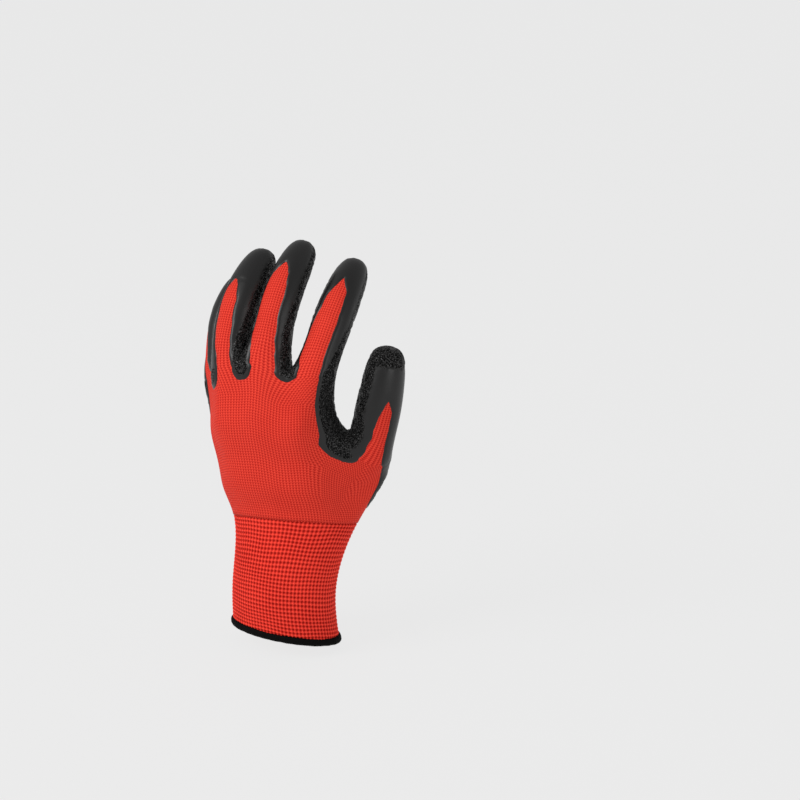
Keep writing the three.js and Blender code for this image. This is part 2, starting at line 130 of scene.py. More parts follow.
def soft_lamp(name, place, size, power):
    """A square lamp at a place in metres that faces the middle of the glove."""
    data = bpy.data.lights.new(name, "AREA")
    data.size, data.energy = size, power
    lamp = bpy.data.objects.new(name, data)
    bpy.context.scene.collection.objects.link(lamp)
    lamp.location = place
    lamp.rotation_euler = (Vector((0.01, 0, 0.12)) - lamp.location).to_track_quat("-Z", "Y").to_euler()


pale_floor()
grey_sky(0.66)
soft_lamp("key_lamp", Vector((-0.75, -1.2, 1.1)), 0.9, 19)
soft_lamp("thumb_lamp", Vector((1.5, -0.6, 0.5)), 0.8, 4)
bpy.context.scene.view_settings.view_transform = "Standard"

# %% [markdown]
# ## The form of the hand
# A knitted glove on a relaxed hand is a smooth skin: five tubes that grow out of a palm. It could be
# sculpted, but here a coarse net of four sided faces carries it, one column for each few stitches,
# and each round of smoothing cuts every face in four. All of it comes from short tables.

# %% The hand in numbers
# Millimetres and degrees. The columns are named above each table.
FINGER_COLUMNS = ("x", "y", "z", "length", "width", "depth", "facing", "turn", "lean", "tilt", "curl")
FINGERS = {
    "little": (-39.3, -7.3, 157, 66.5, 19.4, 20.4, -33, 0, -16, 2.5, 35),
    "ring": (-23.6, -28, 172.3, 78.5, 22.5, 20.2, -13, 6, -4, 12, 42),
    "middle": (2.8, -27.7, 176.6, 83.4, 21.4, 20.5, 2.5, -1, 2, 16, 39.5),
    "index": (31.5, -22, 170.8, 81, 21.5, 22.4, 13, 1, 13.5, 20, 34.5),
    "thumb": (53.2, 4.4, 116.4, 71.5, 25.5, 23.4, 42, 27, 9.9, -9, 7.5),
}
FINGERS = {name: dict(zip(FINGER_COLUMNS, row)) for name, row in FINGERS.items()}
FINGER_ORDER = ("little", "ring", "middle", "index")

# Sections along a finger: share of its length, width and depth against the root's.
FINGER_SECTIONS = (
    (0, 1.02, 1.06), (0.2, 0.95, 1.02), (0.45, 1.02, 1.02),
    (0.66, 0.96, 0.94), (0.84, 0.86, 0.86), (0.96, 0.62, 0.6),
)
# Knuckle and joints: share of the length, share of the curl.
JOINTS = ((0, 0.18), (0.4, 0.5), (0.7, 0.32))
JOINT_REACH, SPINE_STEPS = 0.12, 32
# A smoothed ring shrinks by these shares, so it starts larger.
RING_SHRINK = (4 + 2 * math.cos(math.pi / 4)) / 6
WRIST_SHRINK = (4 + 2 * math.cos(math.pi / 12)) / 6

# %% One finger
def smooth_step(low, high, value):
    """0 below low, 1 above high, and 3t^2 - 2t^3 of the share t of the way between them."""
    t = np.clip((value - low) / (high - low), 0, 1)
    return t * t * (3 - 2 * t)


def finger_frame(finger, along):
    """Directions across, outwards and along at shares of the length. The outward direction turns
    towards the palm by the tilt, plus each joint's share of the curl once the joint is passed."""
    along = np.atleast_1d(np.asarray(along, float))[:, None]
    facing = np.radians(finger["facing"] + finger["turn"] * along)
    bent = sum(share * smooth_step(at - JOINT_REACH, at + JOINT_REACH, along) for at, share in JOINTS)
    tilt = np.radians(finger["tilt"] + finger["curl"] * bent)
    lean = math.radians(finger["lean"])
    back = np.hstack([np.sin(facing), -np.cos(facing), 0 * facing])
    side = np.hstack([np.cos(facing), np.sin(facing), 0 * facing])
    up = np.array([0, 0, 1.0])
    rise = up * math.cos(lean) + side * math.sin(lean)
    across = side * math.cos(lean) - up * math.sin(lean)
    return across, back * np.cos(tilt) + rise * np.sin(tilt), rise * np.cos(tilt) - back * np.sin(tilt)


def finger_spine(finger, along):
    """Points on the middle line: the root plus the sum of short steps along the finger."""
    middles = (np.arange(SPINE_STEPS) + 0.5) / SPINE_STEPS
    steps = finger_frame(finger, middles)[2] * finger["length"] / SPINE_STEPS
    line = np.vstack([np.zeros(3), np.cumsum(steps, 0)]) + [finger[axis] for axis in "xyz"]
    shares = np.linspace(0, 1, SPINE_STEPS + 1)
    return np.stack([np.interp(along, shares, line[:, axis]) for axis in range(3)], 1)


def finger_rings(finger):
    """Eight corners at each section: middle + half width cos(turn) across + half depth sin(turn) out."""
    along, width, depth = np.array(FINGER_SECTIONS).T
    across, out, _ = finger_frame(finger, along)
    turn = np.pi - np.pi / 4 * np.arange(8)
    wide = np.outer(finger["width"] / 2 * width / RING_SHRINK, np.cos(turn))[..., None] * across[:, None]
    deep = np.outer(finger["depth"] / 2 * depth / RING_SHRINK, np.sin(turn))[..., None] * out[:, None]
    return finger_spine(finger, along)[:, None] + wide + deep


RINGS = {name: finger_rings(finger) for name, finger in FINGERS.items()}
TIPS = {name: finger_spine(finger, [1.0])[0] for name, finger in FINGERS.items()}
FORWARD = {name: finger_frame(finger, 0)[2][0] for name, finger in FINGERS.items()}
print("fingertips:", {name: tip.round(1).tolist() for name, tip in TIPS.items()})

# %% [markdown]
# ## The palm and its net
# Rows run from the wrist to the finger roots. On the real glove the same stitches run on from the
# palm into the fingers, so each column of the net does too. The thumb leaves through a ring of its
# own. Columns D lie on the back, P on the palm, S at the sides and M between thumb and index.

# %% Wrist, swell and the skin between fingers
WRIST = {"x": 5, "y": 2.8, "z": 74, "wide": 40.4, "deep": 26.6, "slope_x": -0.08, "slope_y": 0.27}
MOUTH = {"slope_x": 0.06, "slope_y": 0.16}
# Cuff rings: share of the height, middle x and y, half width and half depth.
CUFF_RINGS = ((0.7, 2.8, -3.7, 34, 26.3), (0.36, -0.1, -7.4, 32.9, 25.7), (0, 0, -3.2, 35, 25.2))
HAND_ROWS, THUMB_ROWS = 5, 3
SWELL = {
    "back": (0, 5.9, 1, 3.8, -1.7, 0),
    "sides": (0, 1.5, 2.6, 0.6, -3.4, 0),
    "palm": (0, -2.2, 0, 0, 0.2, 0),
    "thumb_back": (0, -4.9, -6.3, 0),
    "thumb_side": (0, 1, 6, 0),
    "thumb_palm": (0, 4.6, 2.2, 1.5),
}
HAND_RISE, HAND_PULL = np.array([-0.08, -0.23, 1]), 0.85
THUMB_RISE, THUMB_PULL = np.array([0.29, 0.17, 0.92]), 0.75
CROTCH = {"D8 3": (40, -17, 133), "P8 3": (40, 4, 131.5), "M 3": (41, -6, 137), "M 4": (42, -12, 147)}
# Skin between two fingers: drop at the back, at the palm and in the middle.
WEBS = ((1.5, 1, -7), (1.5, 1, -7), (9, 9, 10))

BACK_COLUMNS = [f"D{i}" for i in range(11)]
LOW_COLUMNS = ["S0", *BACK_COLUMNS, "S1", *[f"P{10 - i}" for i in range(11)]]
HIGH_COLUMNS = ["S0", *BACK_COLUMNS[:9], "M", *[f"P{8 - i}" for i in range(9)]]
TURN = {name: math.radians(-180 + 15 * i) for i, name in enumerate(LOW_COLUMNS)}


def oval(x, y, wide, deep):
    """Corners of an oval, one for each low column: middle + (wide cos turn, deep sin turn)."""
    turn = np.array([TURN[name] for name in LOW_COLUMNS])
    return np.stack([x + wide / WRIST_SHRINK * np.cos(turn), y + deep / WRIST_SHRINK * np.sin(turn)], 1)


def wrist_height(place):
    """Height of the slanting ring where hand and cuff meet: z - slope x times x - slope y times y."""
    return WRIST["z"] - WRIST["slope_x"] * place[:, 0] - WRIST["slope_y"] * place[:, 1]


def mouth_height(place):
    """Height of the cuff's slanting mouth, the same way, from nought."""
    return -MOUTH["slope_x"] * place[:, 0] - MOUTH["slope_y"] * place[:, 1]


# %% Corners of the hand
def hermite(start, leave, end, arrive, share):
    """The cubic curve from start to end that leaves and arrives along the two given arrows."""
    s2, s3 = share**2, share**3
    return (2 * s3 - 3 * s2 + 1) * start + (s3 - 2 * s2 + share) * leave + (3 * s2 - 2 * s3) * end + (s3 - s2) * arrive


def top_row():
    """The hand's last row: the finger roots, and between two fingers the mean of both, dropped."""
    root = {name: RINGS[name][0] for name in FINGER_ORDER}
    top = {"S0": root["little"][0], "D0": root["little"][1], "P0": root["little"][7]}
    top |= {"D8": root["index"][3], "M": root["index"][4], "P8": root["index"][5]}
    for i, name in enumerate(FINGER_ORDER):
        top[f"D{2 * i + 1}"], top[f"P{2 * i + 1}"] = root[name][2], root[name][6]
    for i, (back, palm, middle) in enumerate(WEBS):
        left, right = root[FINGER_ORDER[i]], root[FINGER_ORDER[i + 1]]
        for key, a, b, drop in ((f"D{2 * i + 2}", 3, 1, back), (f"P{2 * i + 2}", 5, 7, palm), (f"dip{i}", 4, 0, middle)):
            top[key] = (left[a] + right[b]) / 2 - np.array([0, 0, drop])
    return top


def hand_corners():
    """Corners by column and row: a smooth curve from the wrist to the roots, swollen outwards."""
    flat = oval(WRIST["x"], WRIST["y"], WRIST["wide"], WRIST["deep"])
    wrist = dict(zip(LOW_COLUMNS, np.column_stack([flat, wrist_height(flat)])))
    top, corners = top_row(), {}

    def run(name, end, arrive, rise, pull, rows, swell):
        far = np.linalg.norm(end - wrist[name])
        for row in range(rows + 1):
            point = hermite(wrist[name], rise * far, end, arrive * far * pull, row / rows)
            outward = np.array([math.cos(TURN[name]), math.sin(TURN[name]), 0])
            corners[f"{name} {row}"] = point + swell[row] * outward

    for name in HIGH_COLUMNS:
        if name == "M":
            continue
        number = 0 if name == "S0" else int(name[1:])
        lower, upper = (FINGER_ORDER[min(3, max(0, n) // 2)] for n in (number - 1, number))
        kind = "sides" if name in ("S0", "D0", "P0") else "back" if name[0] == "D" else "palm"
        run(name, top[name], (FORWARD[lower] + FORWARD[upper]) / 2, HAND_RISE, HAND_PULL, HAND_ROWS, SWELL[kind])
    kinds = {"D9": "thumb_back", "D10": "thumb_back", "S1": "thumb_side", "P10": "thumb_palm", "P9": "thumb_palm"}
    for i, (name, kind) in enumerate(kinds.items()):
        run(name, RINGS["thumb"][0][i + 2], FORWARD["thumb"], THUMB_RISE, THUMB_PULL, THUMB_ROWS, SWELL[kind])
    corners |= {key: np.array(place, float) for key, place in CROTCH.items()}
    corners["M 5"] = top["M"]
    corners |= {key: place for key, place in top.items() if key.startswith("dip")}
    return corners


# %% [markdown]
# ## Stitches that follow the hand
# The yarn runs in columns of loops, wales, from the cuff to the fingertips, and in rows across, courses.
# Both could be drawn by a texture in space, but then the stitches would cut across every finger. Each
# square of the net carries its own wale and course number instead, and the material counts on from them.

# %% Stitches round the hand
# Stitches across a column, and rows of stitches in a hand row and in each finger section.
WALES, HAND_COURSES, FINGER_COURSES = 5, 12, (11, 14, 12, 10, 7, 5)
# Width of one stitch, and the share of it that keeps its width where the hand is wide.
WALE_WIDE, EVENNESS = 1.7, 0.6
SEAM = "P5"


def hand_line(row, high):
    """The columns of a row from the seam in the palm round to it again, and their numbers. M takes
    the place of four columns there."""
    names = HIGH_COLUMNS if high else LOW_COLUMNS
    at = names.index(SEAM)
    names = [*names[at:], *names[: at + 1]]
    numbers = [LOW_COLUMNS.index("P9" if name == "M" else name) for name in names]
    return [f"{name} {row}" for name in names], numbers


def wale_numbers(places, keys, row):
    """Stitch numbers along a row, nought at the back's middle: a mix of 5 for each column and
    length / width of a stitch. The finger roots take 5 for each column, as the fingers do."""
    line = np.array([places[key] for key in keys])
    length = np.r_[0, np.cumsum(np.linalg.norm(np.diff(line, axis=0), axis=1))]
    middle = keys.index(f"D5 {row}")
    even = EVENNESS if row < HAND_ROWS else 0
    return (1 - even) * WALES * (np.arange(len(keys)) - middle) + even * (length - length[middle]) / WALE_WIDE


# %% The whole net
HAND, CUFF = 5, 6
# Corners of a face at a fingertip, which spans two columns and ends in one point.
END = ((0, 0), (1, 0), (2, 0), (1, 1))


def glove_net():
    """Corners, faces of four corners, at each face's corners its place in the face's own unit square
    and its stitch number, and a table of each face's part (a finger's number, HAND or CUFF), column,
    row and rows of stitches."""
    places = hand_corners()
    index = {key: i for i, key in enumerate(places)}
    corners = list(places.values())
    faces, squares, about = [], [], []

    def add(rows):
        first = len(corners)
        corners.extend(rows)
        return list(range(first, first + len(rows)))

    def band(low, high, part, row, courses, columns, low_wales, high_wales):
        """One row of faces between two lists that each name their first corner again at the end."""
        for i in range(len(low) - 1):
            k = i + 1
            faces.append((low[i], low[k], high[k], high[i]))
            squares.append(((0, 0, low_wales[i]), (1, 0, low_wales[k]), (1, 1, high_wales[k]), (0, 1, high_wales[i])))
            about.append((part, columns[i], row, courses))

    for row in range(HAND_ROWS):
        (low, numbers), (high, _) = (hand_line(r, row >= THUMB_ROWS) for r in (row, row + 1))
        wales = [wale_numbers(places, keys, r) for keys, r in ((low, row), (high, row + 1))]
        band([index[key] for key in low], [index[key] for key in high], HAND, row, HAND_COURSES, numbers, *wales)
    above, turn = [index[f"{name} 0"] for name in LOW_COLUMNS], WALES * np.arange(len(LOW_COLUMNS) + 1)
    for ring, (share, *shape) in enumerate(CUFF_RINGS):
        flat = oval(*shape)
        height = mouth_height(flat) * (1 - share) + wrist_height(flat) * share
        below = add(list(np.column_stack([flat, height])))
        band([*below, below[0]], [*above, above[0]], CUFF, -1 - ring, HAND_COURSES, range(len(below)), turn, turn)
        above = below

    feet = {
        "little": "S0 5,D0 5,D1 5,D2 5,dip0,P2 5,P1 5,P0 5",
        "ring": "dip0,D2 5,D3 5,D4 5,dip1,P4 5,P3 5,P2 5",
        "middle": "dip1,D4 5,D5 5,D6 5,dip2,P6 5,P5 5,P4 5",
        "index": "dip2,D6 5,D7 5,D8 5,M 5,P8 5,P7 5,P6 5",
        "thumb": "M 3,D8 3,D9 3,D10 3,S1 3,P10 3,P9 3,P8 3",
    }
    turn = WALES * np.arange(9)
    for part, (name, foot) in enumerate(feet.items()):
        ring = [index[key] for key in foot.split(",")]
        for section in range(1, len(FINGER_SECTIONS)):
            above = add(list(RINGS[name][section]))
            lists = [*ring, ring[0]], [*above, above[0]]
            band(*lists, part, section - 1, FINGER_COURSES[section - 1], range(8), turn, turn)
            ring = above
        tip = add([TIPS[name]])[0]
        for i in range(0, 8, 2):
            faces.append((ring[i], ring[i + 1], ring[(i + 2) % 8], tip))
            squares.append([(x, y, WALES * (i + x)) for x, y in END])
            about.append((part, i, len(FINGER_SECTIONS) - 1, FINGER_COURSES[-1]))
    return np.array(corners), np.array(faces), np.array(squares, float), np.array(about, float)


CORNERS, FACES, SQUARES, ABOUT = glove_net()
print("net:", len(CORNERS), "corners,", len(FACES), "faces")

# %% [markdown]
# ## Smoothing the net
# Blender's Subdivision Surface modifier would round the net as well. Here the same rule runs on
# whole arrays, because the latex distance and the stitch numbers have to go through it too.

# %% Smoothing on whole arrays
def gather(index, values, size):
    """Sums rows of values that share an index."""
    return np.stack([np.bincount(index, column, size) for column in values.T], 1)


def smooth(points, faces, squares, source):
    """Cuts each face in four. A face gives its middle, an edge the mean of its ends and the middles
    beside it. A corner with n edges goes to (faces' mean + 2 x edges' mean + (n - 3) x itself) / n.
    A rim follows its own curve: half itself and a quarter of each middle beside it."""
    n = len(points)
    ends = np.sort(np.stack([faces, np.roll(faces, -1, 1)], 2).reshape(-1, 2), 1)
    keys, edge = np.unique(ends[:, 0] * n + ends[:, 1], return_inverse=True)
    a, b = keys // n, keys % n
    single = np.bincount(edge) == 1
    middles, halfway = points[faces].mean(1), (points[a] + points[b]) / 2
    beside = gather(edge, np.repeat(middles, 4, 0), len(keys))
    edge_points = np.where(single[:, None], halfway, (2 * halfway + beside) / 4)
    both = np.r_[a, b]
    count = np.bincount(both, minlength=n)[:, None]
    face_mean = gather(faces.ravel(), np.repeat(middles, 4, 0), n) / np.bincount(faces.ravel(), minlength=n)[:, None]
    edge_mean = gather(both, np.r_[halfway, halfway], n) / count
    inner = (face_mean + 2 * edge_mean + (count - 3) * points) / count
    rim = np.r_[a[single], b[single]]
    on_rim = (np.bincount(rim, minlength=n) > 0)[:, None]
    rim_points = points / 2 + gather(rim, np.r_[halfway[single], halfway[single]], n) / 4
    corner_points = np.where(on_rim, rim_points, inner)

    edge = edge.reshape(-1, 4) + n
    centre = np.arange(len(faces)) + n + len(keys)
    new_faces = np.stack([np.stack([faces[:, k], edge[:, k], centre, edge[:, k - 1]], 1) for k in range(4)], 1)
    half, whole = (squares + np.roll(squares, -1, 1)) / 2, squares.mean(1)
    new_squares = np.stack([np.stack([squares[:, k], half[:, k], whole, half[:, k - 1]], 1) for k in range(4)], 1)
    everything = np.vstack([corner_points, edge_points, middles])
    return everything, new_faces.reshape(-1, 4), new_squares.reshape(-1, 4, 3), np.repeat(source, 4)


def outward(points, faces):
    """Unit directions out of the surface: each face's diagonals crossed, summed at its corners."""
    a, b, c, d = (points[faces[:, k]] for k in range(4))
    cross = np.cross(c - a, d - b)
    total = gather(faces.ravel(), np.repeat(cross, 4, 0), len(points))
    return total / np.maximum(np.linalg.norm(total, axis=1, keepdims=True), 1e-12)


LEVELS = [(CORNERS, FACES, SQUARES, np.arange(len(FACES)))]
for _ in range(4):
    LEVELS.append(smooth(*LEVELS[-1]))
MEDIUM, FINE = LEVELS[3], LEVELS[4]
print("smoothed net:", len(FINE[0]), "points,", len(FINE[1]), "faces")

# %% [markdown]
# ## Where the latex ends
# The dip leaves a tongue of bare knit on each finger's back and on the back of the hand. Painting a
# mask would need an image. Here the edge is a few short tables in the net's own columns and rows, and
# every point of the fine net gets its distance to that edge in millimetres, positive under the latex.

# %% The latex edge in numbers
# Tongues: share of the finger's length, left and right edge in millimetres from its back's middle line.
TONGUES = {
    "little": (
        (0, 1, 8), (0.08, -2, 4), (0.16, -5, 1.5), (0.24, -7, 0.3), (0.32, -8, 0), (0.4, -7.5, -1),
        (0.48, -6, -2.5), (0.55, -4, -4),
    ),
    "ring": (
        (0, 0, 5.8), (0.08, -1, 6), (0.16, -3.5, 6), (0.24, -6, 6), (0.32, -6.5, 5.5), (0.4, -7, 4.5),
        (0.48, -8.5, 4), (0.56, -8, 2), (0.64, -3, -1),
    ),
    "middle": (
        (0, -4, 5), (0.07, -4.8, 5.8), (0.13, -6.5, 6), (0.18, -9.5, 6), (0.22, -13, 6), (0.4, -13, 6),
        (0.48, -12.5, 5.7), (0.56, -11.3, 5), (0.64, -8, 3.7), (0.72, -1, -0.5),
    ),
    "index": (
        (0, -5, 5.4), (0.08, -6.5, 5), (0.16, -13, 5), (0.24, -14.5, 5), (0.32, -14, 5), (0.4, -11, 5),
        (0.48, -9, 5), (0.56, -7.5, 4), (0.64, -5.5, 3.5), (0.73, -1.5, -1),
    ),
    "thumb": (
        (0, -3, 7), (0.08, -3, 5), (0.16, -4, 4.5), (0.32, -5.3, 3.5), (0.4, -5, 3), (0.48, -3.8, 2.8),
        (0.57, -1, -1),
    ),
}
# The row above which the hand is covered, by column. Columns count on past S0 to the back again.
COVER = (
    (10.4, 7), (10.7, 3.3), (11, 2.75), (11.5, 2.1), (12, 1.3), (12.5, 0.7), (13, 0.55), (14, 0.45), (15, 0.2), (16, 0.05), (18, 0.2),
    (20, 0.2), (21, 0.3), (22, 0.5), (23, 0.85), (23.5, 1.2), (24, 1.7), (25, 3), (26, 4.3), (26.13, 5), (26.3, 7),
)
# Latex that comes down between two fingers: middle column, half width, lowest row, height of its rounding.
BETWEEN = ((3.52, 0.48, 4.3, 0.5), (5.2, 0.45, 4.45, 0.5), (7, 0.42, 4.82, 0.36), (9.19, 0.53, 2.5, 0.45))
COLUMN_WIDE, ROW_HIGH, COAT_LIMIT = 8.5, 19.6, 10
# The crinkle starts so many eighths of the girth left and right of the back's middle, and it covers the
# tip from that share of the length on. Near the root it comes closer: share of the length, left, right.
CRINKLE_FROM = {"thumb": (1.2, 2.7, 0.8), "others": (1.3, 1.3, 0.93)}
CLOSER = np.array([(0, 0.3, 0.4), (0.12, 0.4, 0.6), (0.3, 0.7, 0.8), (0.45, 1, 1)]).T


# %% Distance to the latex edge
def finger_coat(name, around, along):
    """The further of left edge - x and x - right edge, and past the tongue's end the distance to it.
    Beside it, how far towards the palm and the tip a point lies, from 0 to 1."""
    finger = FINGERS[name]
    shares, left, right = np.array(TONGUES[name]).T
    girth = math.pi * (finger["width"] + finger["depth"]) / 2
    turn = (around - 2 + 4) % 8 - 4
    x = turn * girth / 8
    low, high = np.interp(along, shares, left), np.interp(along, shares, right)
    past = np.maximum(along - shares[-1], 0) * finger["length"]
    coat = np.where(past > 0, np.hypot(x - left[-1], past), np.maximum(low - x, x - high))
    low, high, tip = CRINKLE_FROM["thumb" if name == "thumb" else "others"]
    low, high = low * np.interp(along, CLOSER[0], CLOSER[1]), high * np.interp(along, CLOSER[0], CLOSER[2])
    aside = np.maximum(smooth_step(low, low + 0.5, -turn), smooth_step(high, high + 0.5, turn))
    return coat, np.maximum(aside, smooth_step(tip, tip + 0.08, along))


def hand_coat(column, row):
    """Height over the cover's row, or wide x (1 - the root of aside^2 + below^2) within a strip
    between two fingers, where aside and below are shares of its half width and of its rounding."""
    start, cover = np.array(COVER).T
    round_ = (column - start[0]) % len(LOW_COLUMNS) + start[0]
    coat = (row - np.interp(round_, start, cover)) * ROW_HIGH
    rough = smooth_step(4, 7, coat) * smooth_step(11.8, 12.3, round_)
    for middle, half, lowest, rounding in BETWEEN:
        below = np.minimum(0, (row - lowest) / rounding - 1)
        share = 1 - np.hypot((column - middle) / half, below)
        coat, rough = np.maximum(coat, half * COLUMN_WIDE * share), np.maximum(rough, smooth_step(0.25, 0.45, share))
    web = (row > THUMB_ROWS) & (column > LOW_COLUMNS.index("D8")) & (column < LOW_COLUMNS.index("P8"))
    return np.where(web, COAT_LIMIT, coat), np.where(web, 1, rough)


def coat_of(level):
    """Distance and crinkle share at each point: the mean of what the faces round it say, and the
    distance divided by its own slope, the root of 2 x the mean square of rise / length of edges."""
    points, faces, squares, source = level
    part, column, row, _ = ABOUT[source].T[..., None]
    column, row = column + squares[..., 0], row + squares[..., 1]
    coat, rough = np.full(column.shape, -float(COAT_LIMIT)), np.zeros(column.shape)
    hand = part[:, 0] == HAND
    coat[hand], rough[hand] = hand_coat(column[hand], row[hand])
    sections = [share for share, _, _ in FINGER_SECTIONS] + [1]
    for number, name in enumerate([*FINGER_ORDER, "thumb"]):
        own = part[:, 0] == number
        along = np.interp(row[own], np.arange(len(sections)), sections)
        coat[own], rough[own] = finger_coat(name, column[own], along)
    weight = np.bincount(faces.ravel(), minlength=len(points))
    coat, rough = (np.bincount(faces.ravel(), value.ravel(), len(points)) / weight for value in (coat, rough))
    a, b = faces.ravel(), np.roll(faces, -1, 1).ravel()
    steep = ((coat[a] - coat[b]) / np.linalg.norm(points[a] - points[b], axis=1)) ** 2
    both = np.r_[a, b]
    mean = np.bincount(both, np.r_[steep, steep], len(points)) / np.bincount(both, minlength=len(points))
    coat = coat / np.clip(np.sqrt(2 * mean), 0.6, 1.8)
    return np.clip(coat, -COAT_LIMIT, COAT_LIMIT), rough


COAT, CRINKLED = coat_of(FINE)
print("covered share of the fine net's points:", round(float((COAT > 0).mean()), 3))

# %% [markdown]
# ## Shared tools
# Each finished piece is a mesh at the origin, in metres, that rides on the glove's only body and
# stands for one solid of the CAD. A random field of ripples gives yarn and latex their unevenness.

# %% Meshes, pieces and ripples
def make_piece(name, points, faces, node, material, stitches=None, marks=None):
    """Puts arrays in millimetres into a smooth shaded mesh, with stitch numbers as its UV map."""
    mesh = bpy.data.meshes.new(name)
    mesh.from_pydata((points * MM).tolist(), [], faces)
    if stitches is not None:
        layer = mesh.uv_layers.new(name="stitches")
        layer.data.foreach_set("uv", np.ascontiguousarray(stitches, np.float32).ravel())
    for mark, values in (marks or {}).items():
        mesh.attributes.new(mark, "FLOAT", "POINT").data.foreach_set("value", np.asarray(values, np.float32))
    mesh.materials.append(material)
    mesh.shade_smooth()
    made = bpy.data.objects.new(name, mesh)
    bpy.context.scene.collection.objects.link(made)
    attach(made, "root")
    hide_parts(node)
    triangles = sum(len(face) - 2 for face in faces)
    print(name, "has", triangles, "triangles")
    return made


def ripples(points, length, seed, waves=28):
    """Adds cosines of one wavelength with random directions and phases. Its spread is about one."""
    rng = np.random.default_rng(seed)
    way = rng.normal(size=(waves, 3))
    way *= 2 * math.pi / length / np.linalg.norm(way, axis=1, keepdims=True)
    return np.cos(points @ way.T + rng.uniform(0, 2 * math.pi, waves)).sum(1) / math.sqrt(waves / 2)


# %% [markdown]
# ## The look of knit
# Plain knit is columns of small V shaped loops. The stitch numbers in the UV map say where on the
# cloth a point lies, so the pattern follows every finger. A node group turns them into a height and
# a depth between the yarns, and both the shell and the cuff use it with their own values. The
# material darkens the colour by that depth: painted shade between the yarns and in the cuff's holes.

# %% Small helpers for node trees
class Wires:
    """Adds nodes to a tree in short form."""

    def __init__(self, tree):
        self.tree = tree

    def node(self, kind, settings=None, **inputs):
        made = self.tree.nodes.new(kind)
        for key, value in (settings or {}).items():
            setattr(made, key, value)
        for key, value in inputs.items():
            self.put(made.inputs[key.replace("_", " ")], value)
        return made

    def put(self, socket, value):
        if isinstance(value, bpy.types.NodeSocket):
            self.tree.links.new(value, socket)
        else:
            socket.default_value = value

    def math(self, operation, a, b=0.0, c=0.0):
        made = self.tree.nodes.new("ShaderNodeMath")
        made.operation = operation
        for socket, value in zip(made.inputs, (a, b, c)):
            self.put(socket, value)
        return made.outputs[0]

    def blend(self, share, low, high):
        """Mixes two colours."""
        made = self.tree.nodes.new("ShaderNodeMix")
        made.data_type = "RGBA"
        for socket, value in ((made.inputs[0], share), (made.inputs[6], low), (made.inputs[7], high)):
            self.put(socket, value)
        return made.outputs[2]


def node_group(name, inputs, outputs):
    """An empty group with named number sockets."""
    group = bpy.data.node_groups.new(name, "ShaderNodeTree")
    for key, value in inputs.items():
        socket = group.interface.new_socket(key, in_out="INPUT", socket_type="NodeSocketFloat")
        socket.default_value = value
    for key, kind in outputs.items():
        group.interface.new_socket(key, in_out="OUTPUT", socket_type=kind)
    return group, group.nodes.new("NodeGroupInput").outputs, group.nodes.new("NodeGroupOutput").inputs


# %% Loops of yarn
def knit_group():
    """Height is loops cos(2 pi (v + slant |u|)) on wales cos(2 pi u), with |u| the distance from the
    wale's middle. Depth is how deep a point lies between the yarns, from 0 to 1, which the material
    turns into painted shade. Patch is a noise for random patches of tone."""
    group, given, gives = node_group(
        "knit_loops",
        {"Slant": 0.7, "Loop Share": 0.45, "Unevenness": 0.15},
        {"Height": "NodeSocketFloat", "Depth": "NodeSocketFloat", "Patch": "NodeSocketFloat"},
    )
    w = Wires(group)
    uv = w.node("ShaderNodeUVMap", {"uv_map": "stitches"}).outputs[0]
    place = w.node("ShaderNodeTexCoord").outputs["Object"]
    drift = w.node("ShaderNodeTexNoise", Vector=place, Scale=140.0, Detail=1.0).outputs["Fac"]
    split = w.node("ShaderNodeSeparateXYZ", Vector=uv).outputs
    shift = w.math("MULTIPLY", w.math("SUBTRACT", drift, 0.5), given["Unevenness"])
    u = w.math("ADD", split[0], shift)
    side = w.math("ABSOLUTE", w.math("SUBTRACT", w.math("FRACT", u), 0.5))
    wale = w.math("COSINE", w.math("MULTIPLY", side, 2 * math.pi))
    v = w.math("ADD", w.math("MULTIPLY_ADD", side, given["Slant"], split[1]), shift)
    loop = w.math("COSINE", w.math("MULTIPLY", v, 2 * math.pi))
    both = w.math("ADD", w.math("MULTIPLY", loop, given["Loop Share"]), wale)
    height = w.math("MULTIPLY_ADD", both, 0.35, 0.5)
    w.put(gives["Height"], height)
    w.put(gives["Depth"], w.math("SUBTRACT", 1.0, w.math("MINIMUM", w.math("MAXIMUM", height, 0.0), 1.0)))
    patch = w.node("ShaderNodeTexNoise", Vector=place, Scale=35.0, Detail=3.0).outputs["Fac"]
    w.put(gives["Patch"], patch)
    return group


KNIT_LOOPS = knit_group()


def knit_material(name, light, deep, slant, loop_share, unevenness, bump):
    """Matt red nylon, mixed from a lit colour to a darker shaded copy: painted shade between the yarns where they lie
    deeper, plus random patches of tone.
    """
    material = bpy.data.materials.new(name)
    tree, out = node_tree(material)
    w = Wires(tree)
    knit = w.node("ShaderNodeGroup", {"node_tree": KNIT_LOOPS}, Slant=slant, Loop_Share=loop_share, Unevenness=unevenness).outputs
    # Painted shade: the deeper between the yarns, the more of the dark colour, plus random patches of tone.
    share = w.math("MULTIPLY_ADD", knit["Patch"], 0.35, w.math("SUBTRACT", knit["Depth"], 0.17))
    colour = w.blend(w.math("MINIMUM", w.math("MAXIMUM", share, 0.0), 1.0), (*light, 1), (*deep, 1))
    relief = w.node("ShaderNodeBump", Height=knit["Height"], Distance=bump * MM, Strength=1.0).outputs[0]
    shader = w.node("ShaderNodeBsdfPrincipled", Base_Color=colour, Normal=relief, Roughness=0.72)
    shader.inputs["Specular IOR Level"].default_value = 0.08
    tree.links.new(shader.outputs[0], out.inputs["Surface"])
    return material


